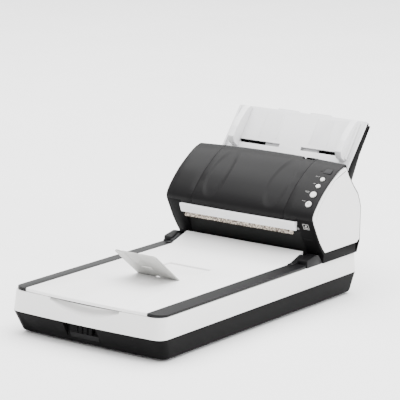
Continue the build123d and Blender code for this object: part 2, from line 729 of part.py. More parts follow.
def shaft_with_tyres(centre, radius, tyres, reach, shaft_radius=3.0):
    """A shaft along X with rubber tyres moulded on it."""
    shape = rod(-reach, reach, *centre, shaft_radius)
    for x0, x1 in tyres:
        tyre = rod(x0, x1, *centre, radius)
        shape += tyre
    return shape


def scan_plane():
    """Plane on the paper path where the sheet is scanned, facing the front unit."""
    y, z = path_arc_point(SCAN_ANGLE)
    a = math.radians(SCAN_ANGLE)
    return Plane(origin=(0, y, z), x_dir=(1, 0, 0), z_dir=(0, -math.sin(a), math.cos(a)))


def scan_unit(front):
    """Image sensor bar across the path, with its cover glass towards the paper."""
    sign = 1 if front else -1
    body = scan_plane() * Pos(0, 0, sign * 11.0) * Box(176, 17, 15.0)
    glass = scan_plane() * Pos(0, 0, sign * 2.75) * Box(172, 14, 1.5)
    return body, glass


def roller_windows():
    """Clearance for the rollers through a path guide."""
    cut = rod(-88, 88, *feed_centre(), 4.0)
    pairs = (
        (pick_centre(), PICK_RADIUS, PICK_TYRES), (brake_centre(), BRAKE_RADIUS, PICK_TYRES),
        (feed_centre(), FEED_RADIUS, FEED_TYRES), (pinch_centre(), PINCH_RADIUS, FEED_TYRES),
        (eject_centre(), EJECT_RADIUS, FEED_TYRES),
    )
    for centre, radius, tyres in pairs:
        for x0, x1 in tyres:
            cut += rod(x0 - 1, x1 + 1, *centre, radius + 0.8)
    return cut


def feeder_frame():
    """Inner frame: two bearing plates, a floor and the rear path guide between them."""
    plate = side_plate(
        [
            (476, 76), (560, 76), (560, 166), (548, 186), (541, 196), (520, 188), (484, 150), (442, 136),
            (442, 118), (462, 110), (476, 100),
        ],
        FRAME_X0, FRAME_X1,
    )
    for centre, radius in ((pick_centre(), 3.0), (feed_centre(), 3.0), (eject_centre(), 3.0)):
        plate += rod(FRAME_X0, FRAME_X1, *centre, 7.0)
        plate -= rod(FRAME_X0 - 1, FRAME_X1 + 1, *centre, radius + RUN_GAP)
    frame = both_sides(plate)
    frame += block(-FRAME_X1, FRAME_X1, 463, 560, DECK_Z + 0.1, 76)
    guide = path_strip(-34, 45.0, -1.5, -4.0, -FRAME_X0 - 0.1, FRAME_X0 + 0.1)
    guide -= roller_windows()
    guide -= scan_window()
    profile = [(462, 76), (464.6, 76), (446.6, 124.6), (444.0, 124.6)]
    shield = side_plate(profile, -PILLAR_INNER, PILLAR_INNER)
    return frame + guide + shield - both_sides(pillar())


def scan_window():
    """Clearance for both scan units through a path guide."""
    return scan_plane() * Box(177, 18, 40)


def feeder_motor():
    """Motor on the inside of the right bearing plate."""
    can = rod(92, FRAME_X0 - 0.1, 530, 104, 18.0)
    return can + rod(84, 92, 530, 104, 2.5) + rod(86, 91, 530, 104, 6.0)


def door_guide():
    """Front path guide with two side ribs that carry the door on its hinge pins."""
    guide = path_strip(-38, 26.0, 1.5, 3.3, -91.8, 91.8)
    rib = side_plate(
        [
            (430.5, 131), (436, 129), (446, 133.2), (484, 142.6), (506, 153), (530, 186), (524, 215),
            (508, 221), (477, 205), (455, 189.5), (438, 174), (428, 161), (425.6, 152),
        ],
        90.0, 92.8,
    )
    rib &= block(80, 100, 420, 529, 120, 222)
    rib -= block(80, 100, 420, 430.4, 120, 150.7)
    rib += rod(90.0, 92.8, DOOR_HINGE_Y, DOOR_HINGE_Z, 4.5)
    rib -= rod(89.0, 93.8, DOOR_HINGE_Y, DOOR_HINGE_Z, 2.0)
    for centre, radius in ((brake_centre(), 2.5), (pinch_centre(), 2.0)):
        rib -= rod(89.0, 93.8, *centre, radius + RUN_GAP)
    whole = guide + both_sides(rib)
    whole -= roller_windows()
    whole -= rod(-89.5, 89.5, *brake_centre(), 4.0)
    whole -= rod(-89.5, 89.5, *pinch_centre(), 4.0)
    return whole - scan_window()


def door_hinge_pins():
    return both_sides(rod(90.0, PILLAR_INNER + 7, DOOR_HINGE_Y, DOOR_HINGE_Z, 2.0))


def door_lip():
    """Light bar along the door's lower edge; its face leans back towards the bottom and bows forward."""
    profile = [(415.0, 145.8), (421.4, 131.0), (425.4, 131.0), (425.6, 146.6), (416.6, 146.6)]
    bow = panel_plan(LIP_HALF_WIDTH, 416.2, 470, 2.8, 120, 160)
    return side_plate(profile, -LIP_HALF_WIDTH, LIP_HALF_WIDTH) & bow


def static_brush():
    """Bristle strip behind the lip that takes static off the paper."""
    strip = block(-110, 110, 425.8, 427.9, 127.0, 143.5)
    strip += block(-DOOR_HALF_WIDTH + 1.7, DOOR_HALF_WIDTH - 1.7, 425.8, 427.9, 127.0, 150.4)
    return strip + block(-110, 110, 422.0, 427.9, 125.9, 130.7)


# ---------------------------------------------------------------- chute
def chute_tray():
    """Light slanted plate for the paper, with slots for the guides' feet and a border over the cheeks."""
    tray = chute_block(-CHUTE_HALF_WIDTH, CHUTE_HALF_WIDTH, -34, CHUTE_TOP, -3.0, -0.3)
    slot = chute_block(GUIDE_FOOT_X0 - 84, GUIDE_FOOT_X1 + 4, GUIDE_SLOT - 3.4, GUIDE_SLOT + 3.4, -4, 1)
    tray -= both_sides(slot)
    for x in (-70, -35, 35, 70):
        tray += chute_block(x - 1, x + 1, 24, CHUTE_TOP - 8, -0.4, 0.2)
    border_top = [chute_point(along, out) for along, out in ((79, 1.0), (-12.8, 5.7), (-34, 3.2))]
    wall = border_top + [chute_point(-34, -3.0), chute_point(79, -3.0)]
    cap = border_top + [chute_point(along, out) for along, out in ((-34, 2.0), (-12.6, 4.5), (79, -0.2))]
    tray += both_sides(side_plate(wall, CHUTE_HALF_WIDTH - 1.0, CHUTE_HALF_WIDTH - 0.1))
    tray += both_sides(side_plate(cap, CHUTE_HALF_WIDTH - 0.2, CHUTE_HALF_WIDTH + 2.4))
    return tray + CHUTE_PLANE * Pos(0, GUIDE_SLOT, -4.7) * Cylinder(2.0, 3.6)


def chute_back():
    """Dark shell behind the tray with wedge-shaped cheeks."""
    outline = ((79, -0.2), (77, -5), (-20.5, -13.5), (-34, -11), (-34, 2), (-12.6, 4.5))
    cheek = [chute_point(along, out) for along, out in outline]
    wall = side_plate(cheek, CHUTE_HALF_WIDTH - 0.1, CHUTE_HALF_WIDTH + 2.4)
    wall -= chute_block(CHUTE_HALF_WIDTH - 2, CHUTE_HALF_WIDTH + 0.1, -36, 82, -3.1, -0.2)
    shell = both_sides(wall)
    rear = [chute_point(a, o) for a, o in ((77, -9.6), (77, -12), (-24, -12), (-24, -9.6))]
    shell += side_plate(rear, -CHUTE_HALF_WIDTH - 2.4, CHUTE_HALF_WIDTH + 2.4)
    shell += chute_block(-CHUTE_HALF_WIDTH - 2, CHUTE_HALF_WIDTH + 2, -24, -21.6, -12, -3.1)
    shell += both_sides(chute_block(62, CHUTE_HALF_WIDTH + 2, 70, 72.4, -12, -3.1))
    tail = [chute_point(-24, -12), chute_point(-21.6, -12), (566.0, 184.6), (563.4, 184.6)]
    shell += side_plate(tail, -CHUTE_HALF_WIDTH - 2, CHUTE_HALF_WIDTH + 2)
    return shell


def rack_points(x0, count):
    """Zigzag of a straight rack's teeth along x."""
    pitch = math.pi * RACK_MODULE
    points = []
    for i in range(count):
        for part, height in ((0.10, -1.1), (0.28, 0.9), (0.42, 0.9), (0.60, -1.1)):
            points.append((x0 + (i + part) * pitch, height))
    return points


def rack(first, last, phase):
    """Toothed bar on the upper side of the pinion, from x = first to last; teeth point down the slope."""
    pitch = math.pi * RACK_MODULE
    start = math.floor((first - phase) / pitch) * pitch + phase + pitch
    count = int((last - start) / pitch)
    teeth = [(x, GUIDE_SLOT + PITCH_RADIUS - h) for x, h in rack_points(start, count)]
    top = GUIDE_SLOT + PITCH_RADIUS + 5.5
    base = GUIDE_SLOT + PITCH_RADIUS + 1.1
    outline = [(first, top), (first, base), *teeth, (last, base), (last, top)]
    low, high = RACK_LAYER
    return CHUTE_PLANE * (Pos(0, 0, low) * extrude(make_face(Polyline(*outline, close=True)), high - low))


def guide_pinion():
    """Pinion between the two racks; its axis stands square to the chute."""
    points = []
    for i in range(PINION_TEETH):
        for turn, radius in ((-0.20, -1.2), (-0.09, 0.9), (0.09, 0.9), (0.20, -1.2)):
            a = 2 * math.pi * (i + turn) / PINION_TEETH
            r = PITCH_RADIUS + radius
            points.append((r * math.cos(a), r * math.sin(a)))
    gear = extrude(make_face(Polyline(*points, close=True)), 2.7)
    gear -= Cylinder(2.0 + RUN_GAP, 20)
    low = RACK_LAYER[0] + 0.2
    return CHUTE_PLANE * (Pos(0, GUIDE_SLOT, low) * gear)


def guide_plate(side):
    """Hollow guide, open towards the tray, with a foot that passes through the tray's slot."""
    x0, x1 = GUIDE_INNER, GUIDE_INNER + GUIDE_THICKNESS
    plate = side_plate([chute_point(along, out) for along, out in GUIDE_OUTLINE], x0, x1)
    plate = fillet(plate.edges().filter_by(Axis.X), 1.2)
    plate -= side_plate([chute_point(a, o) for a, o in GUIDE_HOLLOW], x0 + GUIDE_WALL, x1 - GUIDE_WALL)
    plate += chute_block(x0 + 0.5, x1 - 0.5, GUIDE_SLOT - 3, GUIDE_SLOT + 3, 0.2, 4.0)
    low, high = GUIDE_SLOT - 3.0, GUIDE_SLOT + 3.0
    plate += chute_block(GUIDE_FOOT_X0, GUIDE_FOOT_X1, low, high, RACK_LAYER[0], 0.4)
    return plate if side > 0 else mirror(plate, about=Plane.YZ)


def side_guide_right():
    """Right paper guide, with its rack above the pinion."""
    arm_top = GUIDE_SLOT + PITCH_RADIUS + 5.5
    arm = chute_block(GUIDE_FOOT_X0, GUIDE_FOOT_X1, GUIDE_SLOT - 3.0, arm_top, *RACK_LAYER)
    return guide_plate(1) + arm + rack(-16.0, GUIDE_FOOT_X1, RACK_PHASE)


def side_guide_left():
    """Left paper guide, with its rack below the pinion."""
    arm_low = GUIDE_SLOT - PITCH_RADIUS - 5.5
    arm = chute_block(-GUIDE_FOOT_X1, -GUIDE_FOOT_X0, arm_low, GUIDE_SLOT + 3.0, *RACK_LAYER)
    turn = Pos(0, GUIDE_SLOT, 0) * Rot(0, 0, 180) * Pos(0, -GUIDE_SLOT, 0)
    local = CHUTE_PLANE.location.inverse() * rack(-16.0, GUIDE_FOOT_X1, RACK_PHASE)
    return guide_plate(-1) + arm + CHUTE_PLANE.location * turn * local


def chute_extension():
    """Flat support that slides up out of the chute, with a finger lip."""
    plate = chute_block(-55, 55, -18, 76, -9.2, -7.0)
    plate += chute_block(-55, 55, 76, 84, -9.2, -3.4)
    return plate - chute_block(-12, 12, 80, 90, -10, -2)


def main():
    os.makedirs("parts", exist_ok=True)
    save("base_pan", base_pan())
    save("bed_frame", bed_frame())
    save("scan_glass", scan_glass())
    save("reference_strip", reference_strip())
    save("rubber_feet", rubber_feet())
    save("casing_screws", casing_screws())
    save("lock_slider", lock_slider())
    save("guide_rod", guide_rod())
    save("scan_carriage", scan_carriage())
    save("carriage_lamp", carriage_lamp())
    save("motor_pulley", pulley(BELT_BACK))
    save("idler_pulley", pulley(BELT_FRONT))
    save("idler_bracket", idler_bracket())
    save("drive_belt", drive_belt())
    save("carriage_motor", carriage_motor())
    save("main_board", main_board())
    save("usb_socket", usb_socket())
    save("power_inlet", power_inlet())
    save("lid_panel", lid_panel())
    save("lid_pan", lid_pan())
    save("document_pad", document_pad())
    save("lid_rail_left", lid_rail(-1))
    save("lid_rail_right", lid_rail(1))
    save("stopper_flap", stopper_flap())
    save("hinge_brackets", hinge_brackets())
    save("lid_hinge_pins", lid_hinge_pins())
    skin = cover_skin()
    save("adf_door", adf_door(skin))
    save("left_end_cover", end_cover(skin, -1))
    save("operator_panel", operator_panel(skin))
    save("release_tab", release_tab())
    save("display_window", display_window())
    for name, place in BUTTONS.items():
        save(name, push_button(*place))
    save("side_cover_left", side_cover(-1))
    save("side_cover_right", side_cover(1))
    save("feeder_base_cover", feeder_base_cover())
    save("rear_cover", rear_cover())
    save("feeder_frame", feeder_frame())
    save("feeder_motor", feeder_motor())
    save("pick_roller", shaft_with_tyres(pick_centre(), PICK_RADIUS, PICK_TYRES, FRAME_X1 + 1))
    save("feed_roller", shaft_with_tyres(feed_centre(), FEED_RADIUS, FEED_TYRES, FRAME_X1 + 1))
    save("eject_roller", shaft_with_tyres(eject_centre(), EJECT_RADIUS, FEED_TYRES, FRAME_X1 + 1))
    save("brake_roller", shaft_with_tyres(brake_centre(), BRAKE_RADIUS, PICK_TYRES, 93.0, 2.5))
    save("pinch_rollers", shaft_with_tyres(pinch_centre(), PINCH_RADIUS, FEED_TYRES, 93.0, 2.0))
    for name, front in (("rear_scan", False), ("front_scan", True)):
        body, glass = scan_unit(front)
        save(f"{name}_unit", body)
        save(f"{name}_glass", glass)
    save("door_guide", door_guide())
    save("door_hinge_pins", door_hinge_pins())
    save("door_lip", door_lip())
    save("static_brush", static_brush())
    save("chute_tray", chute_tray())
    save("chute_back", chute_back())
    save("side_guide_right", side_guide_right())
    save("side_guide_left", side_guide_left())
    save("guide_pinion", guide_pinion())
    save("chute_extension", chute_extension())
    print(len(NODES), "nodes")


main()
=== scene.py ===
import json
import math
import random

import bmesh
import bpy
from mathutils import Matrix, Vector
from mathutils.bvhtree import BVHTree

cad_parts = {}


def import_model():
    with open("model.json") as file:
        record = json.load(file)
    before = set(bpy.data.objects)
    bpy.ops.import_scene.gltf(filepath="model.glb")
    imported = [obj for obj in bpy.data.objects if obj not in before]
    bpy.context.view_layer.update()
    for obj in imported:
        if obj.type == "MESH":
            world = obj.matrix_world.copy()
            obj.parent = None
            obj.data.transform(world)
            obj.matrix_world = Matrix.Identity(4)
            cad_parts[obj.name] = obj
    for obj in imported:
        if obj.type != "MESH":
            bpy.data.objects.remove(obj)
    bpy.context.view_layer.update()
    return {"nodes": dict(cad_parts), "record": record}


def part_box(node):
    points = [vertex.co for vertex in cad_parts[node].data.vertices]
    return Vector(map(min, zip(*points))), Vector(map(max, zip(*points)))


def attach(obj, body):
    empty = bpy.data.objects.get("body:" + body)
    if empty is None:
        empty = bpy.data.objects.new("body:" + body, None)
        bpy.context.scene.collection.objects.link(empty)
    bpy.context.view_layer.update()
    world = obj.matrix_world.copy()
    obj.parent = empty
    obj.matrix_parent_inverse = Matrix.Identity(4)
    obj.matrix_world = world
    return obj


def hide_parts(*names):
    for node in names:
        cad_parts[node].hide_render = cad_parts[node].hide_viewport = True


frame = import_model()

random.seed(7)
NODES = frame["nodes"]
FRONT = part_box("base_pan")[0][1]
MM = 0.001
SIDES = (("right", 1), ("left", -1))


def at(x, y, z):
    """A point in metres from millimetres measured from the casing's front edge and the table."""
    return Vector((x * MM, FRONT + y * MM, z * MM))


# ------------------------------------------------------------------ shader helpers
def new_material(name):
    material = bpy.data.materials.new(name)
    material.use_nodes = True
    tree = material.node_tree
    return material, tree, tree.nodes["Principled BSDF"]


def link(tree, a, b):
    tree.links.new(a, b)


def object_coords(tree):
    return tree.nodes.new("ShaderNodeTexCoord").outputs["Object"]


def object_noise(tree, scale, detail=4.0, rough=0.55):
    noise = tree.nodes.new("ShaderNodeTexNoise")
    noise.inputs["Scale"].default_value = scale
    noise.inputs["Detail"].default_value = detail
    noise.inputs["Roughness"].default_value = rough
    link(tree, object_coords(tree), noise.inputs["Vector"])
    return noise


def ramp(tree, source, stops):
    node = tree.nodes.new("ShaderNodeValToRGB")
    node.color_ramp.elements[0].position = stops[0][0]
    node.color_ramp.elements[0].color = stops[0][1]
    node.color_ramp.elements[1].position = stops[-1][0]
    node.color_ramp.elements[1].color = stops[-1][1]
    for place, colour in stops[1:-1]:
        node.color_ramp.elements.new(place).color = colour
    link(tree, source, node.inputs["Fac"])
    return node.outputs["Color"]


def add_bump(tree, height, strength, distance):
    """Bump over a height, linked to the shader's normal."""
    bump = tree.nodes.new("ShaderNodeBump")
    bump.inputs["Strength"].default_value = strength
    bump.inputs["Distance"].default_value = distance
    link(tree, height, bump.inputs["Height"])
    link(tree, bump.outputs["Normal"], tree.nodes["Principled BSDF"].inputs["Normal"])
    return bump


def arithmetic(tree, operation, a, b):
    node = tree.nodes.new("ShaderNodeMath")
    node.operation = operation
    for socket, value in zip(node.inputs, (a, b)):
        if isinstance(value, (int, float)):
            socket.default_value = value
        else:
            link(tree, value, socket)
    return node.outputs[0]


def grey(value):
    return (value, value, value, 1.0)


def shade(colour, factor):
    return (*(min(channel * factor, 1) for channel in colour), 1.0)


# ------------------------------------------------------------------ materials
def moulded(name, colour, rough, grain=1500.0, depth=0.00004, spread=0.05, specular=0.5, coat=0.0):
    """Moulded plastic: fine spark-eroded grain, faint cloudy colour and roughness changes, colour lighter
    at sharp edges.
    """
    material, tree, shader = new_material(name)
    cloud = object_noise(tree, scale=14.0, detail=3.0)
    tint = ramp(tree, cloud.outputs["Fac"],
                [(0.3, shade(colour, 1 - spread)), (0.7, shade(colour, 1 + spread))])
    geometry = tree.nodes.new("ShaderNodeNewGeometry")
    # Colour lightened along sharp edges, where pointiness is high.
    edge_lightening = tree.nodes.new("ShaderNodeMixRGB")
    edge_lightening.blend_type = "SCREEN"
    edge_lightening.inputs["Color2"].default_value = shade(colour, 0.35)
    edge = ramp(tree, geometry.outputs["Pointiness"], [(0.52, grey(0.0)), (0.6, grey(1.0))])
    link(tree, edge, edge_lightening.inputs["Fac"])
    link(tree, tint, edge_lightening.inputs["Color1"])
    link(tree, edge_lightening.outputs["Color"], shader.inputs["Base Color"])
    fine = object_noise(tree, grain, detail=2.0, rough=0.6)
    smoothest, roughest = max(rough - 0.08, 0.02), min(rough + 0.10, 1)
    finish = ramp(tree, fine.outputs["Fac"], [(0.0, grey(smoothest)), (1.0, grey(roughest))])
    link(tree, finish, shader.inputs["Roughness"])
    add_bump(tree, fine.outputs["Fac"], 0.35, depth)
    shader.inputs["Specular IOR Level"].default_value = specular
    if coat:
        shader.inputs["Coat Weight"].default_value = coat
        shader.inputs["Coat Roughness"].default_value = 0.08
    return material


def with_hollows(material, centre_x, centre_z, half_x, half_z, depth):
    """Adds one soft oval hollow on each side of the middle to a finished material's surface."""
    tree = material.node_tree
    split = tree.nodes.new("ShaderNodeSeparateXYZ")
    link(tree, object_coords(tree), split.inputs[0])
    side = arithmetic(tree, "ABSOLUTE", split.outputs["X"], 0.0)
    across = arithmetic(tree, "DIVIDE", arithmetic(tree, "SUBTRACT", side, centre_x), half_x)
    along = arithmetic(tree, "DIVIDE", arithmetic(tree, "SUBTRACT", split.outputs["Z"], centre_z), half_z)
    across_squared = arithmetic(tree, "POWER", across, 2.0)
    along_squared = arithmetic(tree, "POWER", along, 2.0)
    shape = tree.nodes.new("ShaderNodeMapRange")
    shape.interpolation_type = "SMOOTHSTEP"
    shape.inputs["From Min"].default_value = 0.45
    shape.inputs["From Max"].default_value = 1.1
    link(tree, arithmetic(tree, "ADD", across_squared, along_squared), shape.inputs["Value"])
    grain = next(node for node in tree.nodes if node.type == "BUMP")
    hollow = add_bump(tree, shape.outputs["Result"], 1.0, depth)
    link(tree, grain.outputs["Normal"], hollow.inputs["Normal"])
    return material


def metal(name, colour):
    """Turned or rolled steel with fine lines along one direction."""
    material, tree, shader = new_material(name)
    mapping = tree.nodes.new("ShaderNodeMapping")
    mapping.inputs["Scale"].default_value = (900.0, 40.0, 40.0)
    noise = tree.nodes.new("ShaderNodeTexNoise")
    noise.inputs["Scale"].default_value = 4.0
    noise.inputs["Detail"].default_value = 5.0
    link(tree, object_coords(tree), mapping.inputs["Vector"])
    link(tree, mapping.outputs["Vector"], noise.inputs["Vector"])
    lines = noise.outputs["Fac"]
    tint = ramp(tree, lines, [(0.3, shade(colour, 0.86)), (0.7, shade(colour, 1.1))])
    link(tree, tint, shader.inputs["Base Color"])
    link(tree, ramp(tree, lines, [(0.2, grey(0.22)), (0.8, grey(0.42))]), shader.inputs["Roughness"])
    add_bump(tree, lines, 0.2, 0.00003)
    shader.inputs["Metallic"].default_value = 1.0
    return material


def clear_glass(name, colour):
    """Flat glass with a faint body colour and a little surface haze."""
    material, tree, shader = new_material(name)
    haze = object_noise(tree, scale=20.0, detail=3.0).outputs["Fac"]
    tint = ramp(tree, haze, [(0.3, shade(colour, 0.97)), (0.7, shade(colour, 1.03))])
    link(tree, tint, shader.inputs["Base Color"])
    link(tree, ramp(tree, haze, [(0.3, grey(0.02)), (0.7, grey(0.06))]), shader.inputs["Roughness"])
    shader.inputs["IOR"].default_value = 1.5
    shader.inputs["Transmission Weight"].default_value = 0.9
    return material


def rubber(name, colour, grain=700.0):
    return moulded(name, colour, rough=0.72, grain=grain, depth=0.00012, spread=0.12, specular=0.25)


def foam(name, colour):
    """Closed-cell foam sheet with small pores."""
    material, tree, shader = new_material(name)
    cells = tree.nodes.new("ShaderNodeTexVoronoi")
    cells.inputs["Scale"].default_value = 650.0
    link(tree, object_coords(tree), cells.inputs["Vector"])
    pores = cells.outputs["Distance"]
    tint = ramp(tree, pores, [(0.0, shade(colour, 0.86)), (0.5, shade(colour, 1.03))])
    link(tree, tint, shader.inputs["Base Color"])
    add_bump(tree, pores, 0.5, 0.00015)
    shader.inputs["Roughness"].default_value = 0.9
    shader.inputs["Sheen Weight"].default_value = 0.15
    return material


def fibre(name, dark, light):
    """Bundled bristles: streaks of dark and light fibre."""
    material, tree, shader = new_material(name)
    streaks = object_noise(tree, scale=330.0, detail=2.0, rough=0.6)
    stops = [(0.43, shade(dark, 1)), (0.5, shade(light, 0.45)), (0.57, shade(light, 1))]
    link(tree, ramp(tree, streaks.outputs["Fac"], stops), shader.inputs["Base Color"])
    shader.inputs["Roughness"].default_value = 0.6
    shader.inputs["Sheen Weight"].default_value = 0.3
    return material


def board(name):
    """Green solder mask over faint copper tracks."""
    material, tree, shader = new_material(name)
    brick = tree.nodes.new("ShaderNodeTexBrick")
    brick.inputs["Scale"].default_value = 160.0
    brick.inputs["Color1"].default_value = (0.01, 0.11, 0.035, 1)
    brick.inputs["Color2"].default_value = (0.012, 0.14, 0.045, 1)
    brick.inputs["Mortar"].default_value = (0.05, 0.25, 0.08, 1)
    brick.inputs["Mortar Size"].default_value = 0.03
    link(tree, object_coords(tree), brick.inputs["Vector"])
    link(tree, brick.outputs["Color"], shader.inputs["Base Color"])
    shader.inputs["Roughness"].default_value = 0.35
    return material


def charcoal(name):
    """Dark satin plastic of the feeder; the door has its own copy of it."""
    return moulded(name, (0.0040, 0.0038, 0.0041), rough=0.36, specular=0.10)


MATERIALS = {
    "charcoal_plastic": charcoal("charcoal_plastic"),
    "base_dark": moulded("base_dark", (0.0042, 0.0041, 0.0043), rough=0.5, specular=0.04),
    "light_plastic": moulded("light_plastic", (0.76, 0.755, 0.745), rough=0.48, spread=0.012),
    "panel_white": moulded("panel_white", (0.80, 0.795, 0.79), rough=0.46, spread=0.012),
    "rail_grey": moulded("rail_grey", (0.0075, 0.0076, 0.0080), rough=0.38, spread=0.04, specular=0.11),
    "stopper_grey": moulded("stopper_grey", (0.36, 0.36, 0.345), rough=0.38, spread=0.03),
    "guide_grey": moulded("guide_grey", (0.70, 0.70, 0.71), rough=0.42, spread=0.015),
    "inner_black": moulded("inner_black", (0.006, 0.006, 0.006), rough=0.55, specular=0.12),
    "bracket_grey": moulded("bracket_grey", (0.0060, 0.0060, 0.0063), rough=0.40, specular=0.10),
    "button_white": moulded("button_white", (0.62, 0.62, 0.60), rough=0.3, spread=0.01, coat=0.2),
    "window_black": moulded("window_black", (0.006, 0.0062, 0.007), rough=0.3, depth=0.00001, specular=0.1),
    "glass": clear_glass("glass", (0.86, 0.93, 0.91)),
    "foam_white": foam("foam_white", (0.82, 0.82, 0.81)),
    "roller_rubber": rubber("roller_rubber", (0.045, 0.045, 0.05)),
    "steel": metal("steel", (0.60, 0.60, 0.61)),
    "board_green": board("board_green"),
    "belt_rubber": rubber("belt_rubber", (0.02, 0.02, 0.02), 1200.0),
    "brush_fibre": fibre("brush_fibre", (0.06, 0.04, 0.03), (0.75, 0.66, 0.55)),
    "gear_nylon": moulded("gear_nylon", (0.72, 0.70, 0.62), rough=0.4, spread=0.03),
}
for entry in frame["record"]["subparts"]:
    node_object = NODES[entry["node"]]
    node_object.data.materials.clear()
    node_object.data.materials.append(MATERIALS[entry["material_slot"]])
NODES["adf_door"].data.materials[0] = with_hollows(
    charcoal("door_plastic"), centre_x=0.062, centre_z=0.199, half_x=0.021, half_z=0.037, depth=0.0011)
NODES["release_tab"].data.materials[0] = moulded(
    "tab_black", (0.0012, 0.0012, 0.0012), rough=0.6, specular=0.0)


# ------------------------------------------------------------------ softened edges on the CAD covers
EDGE_ANGLE = math.radians(32)
WELD_DISTANCE = 0.00001
# Radii in millimetres.
EDGE_RADII = {
    "base_pan": 0.6, "bed_frame": 0.8, "lid_panel": 0.6, "lid_rail_left": 0.45, "lid_rail_right": 0.45,
    "stopper_flap": 0.35, "hinge_brackets": 0.8, "adf_door": 0.35, "left_end_cover": 0.5,
    "operator_panel": 0.5, "side_cover_left": 0.5, "side_cover_right": 0.5, "feeder_base_cover": 0.6,
    "rear_cover": 0.8, "door_lip": 0.6, "chute_tray": 0.5, "chute_back": 0.7, "side_guide_left": 0.5,
    "side_guide_right": 0.5, "chute_extension": 0.5, "lock_slider": 0.4, "release_tab": 0.4,
    "display_window": 0.2, "carriage_lamp": 0.3, "scan_carriage": 0.5, "feeder_motor": 0.5,
    "rear_scan_unit": 0.4, "front_scan_unit": 0.4, "pick_roller": 0.3, "feed_roller": 0.3,
    "eject_roller": 0.3, "brake_roller": 0.3, "pinch_rollers": 0.3, "function_button": 0.2,
    "stop_button": 0.2, "scan_button": 0.2, "power_button": 0.2, "carriage_motor": 0.5, "usb_socket": 0.2,
    "power_inlet": 0.2, "main_board": 0.1, "rubber_feet": 0.3,
}


def soften(piece, width, segments=3):
    """Rounds the sharp edges of a piece by a width in millimetres."""
    bevel = piece.modifiers.new("soft_edges", "BEVEL")
    bevel.width = width * MM
    bevel.segments = segments
    bevel.limit_method = "ANGLE"
    bevel.angle_limit = EDGE_ANGLE
    bevel.harden_normals = True


for node_name, radius in EDGE_RADII.items():
    target = NODES[node_name]
    weld = target.modifiers.new("weld", "WELD")
    weld.merge_threshold = WELD_DISTANCE
    soften(target, radius)
    for polygon in target.data.polygons:
        polygon.use_smooth = True


# ------------------------------------------------------------------ mesh helpers
def finish_mesh(name, bm, material, smooth):
    mesh = bpy.data.meshes.new(name)
    bm.normal_update()
    bm.to_mesh(mesh)
    bm.free()
    made = bpy.data.objects.new(name, mesh)
    bpy.context.scene.collection.objects.link(made)
    mesh.materials.append(MATERIALS[material])
    for face in mesh.polygons:
        face.use_smooth = smooth
    return made


def piece(name, bm, body, slot, *nodes, bevel=0.0, segments=2, smooth=False):
    """A visible piece: its mesh, the body it moves with, its finish and the CAD nodes it stands for."""
    made = finish_mesh(name, bm, slot, smooth)
    if bevel:
        soften(made, bevel, segments)
    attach(made, body)
    if nodes:
        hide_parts(*nodes)
    return made


def add_prism(bm, frame_matrix, outline, low, high):
    """A closed prism over a plane outline in millimetres, placed by a matrix in metres."""
    bottom = [bm.verts.new(frame_matrix @ Vector((x * MM, y * MM, low * MM))) for x, y in outline]
    top = [bm.verts.new(frame_matrix @ Vector((x * MM, y * MM, high * MM))) for x, y in outline]
    count = len(outline)
    bm.faces.new(top)
    bm.faces.new(bottom[::-1])
    for i in range(count):
        j = (i + 1) % count
        bm.faces.new((bottom[i], bottom[j], top[j], top[i]))


def add_skin(bm, rows, closed=False):
    """Faces between rows of vertices: a closed loop of rows, or a bar with a cap at each end."""
    following = rows[1:] + rows[:1] if closed else rows[1:]
    for near, far in zip(rows, following):
        for q in range(len(near)):
            r = (q + 1) % len(near)
            bm.faces.new((near[q], near[r], far[r], far[q]))
    if not closed:
        bm.faces.new(rows[0][::-1])
        bm.faces.new(rows[-1])


def add_ring(bm, frame_matrix, inner, outer, low, high, start=0.0, end=360.0, steps=40):
    """A flat ring, or part of one, with square edges."""
    closed = end - start >= 360.0
    corners = ((inner, low), (outer, low), (outer, high), (inner, high))
    rows = []
    for i in range(steps if closed else steps + 1):
        a = math.radians(start + (end - start) * i / steps)
        rows.append([
            bm.verts.new(frame_matrix @ Vector((r * MM * math.cos(a), r * MM * math.sin(a), h * MM)))
            for r, h in corners
        ])
    add_skin(bm, rows, closed)


def turn_outward(bm):
    bmesh.ops.recalc_face_normals(bm, faces=bm.faces)


def circle(radius, steps=28):
    turns = [2 * math.pi * i / steps for i in range(steps)]
    return [(radius * math.cos(a), radius * math.sin(a)) for a in turns]


def rectangle(x0, x1, y0, y1, corner=0.0):
    """Outline of a rectangle, with rounded corners if a corner radius is given."""
    if corner <= 0:
        return [(x0, y0), (x1, y0), (x1, y1), (x0, y1)]
    steps = 4
    points = []
    corners = ((x1 - corner, y0 + corner, -90), (x1 - corner, y1 - corner, 0),
               (x0 + corner, y1 - corner, 90), (x0 + corner, y0 + corner, 180))
    for cx, cy, start in corners:
        for i in range(steps + 1):
            a = math.radians(start + 90 * i / steps)
            points.append((cx + corner * math.cos(a), cy + corner * math.sin(a)))
    return points


def plane_at(origin, normal):
    """Matrix of a plane with its normal and its own X to the right."""
    z_axis = Vector(normal).normalized()
    y_axis = z_axis.cross(Vector((1, 0, 0))).normalized()
    x_axis = y_axis.cross(z_axis)
    rows = Matrix((x_axis, y_axis, z_axis)).transposed()
    return Matrix.Translation(origin) @ rows.to_4x4()


def surface_of(node):
    """Ray lookup on a CAD node at rest."""
    source = NODES[node]
    world_matrix = source.matrix_world
    points = [world_matrix @ v.co for v in source.data.vertices]
    faces = [tuple(face.vertices) for face in source.data.polygons]
    return BVHTree.FromPolygons(points, faces)


def nearest_spot(tree, x, y, z):
    """Plane lying on an upward surface at the point nearest to (x, y, z)."""
    place, normal, _, _ = tree.find_nearest(at(x, y, z))
    return plane_at(place, -normal if normal.z < 0 else normal)


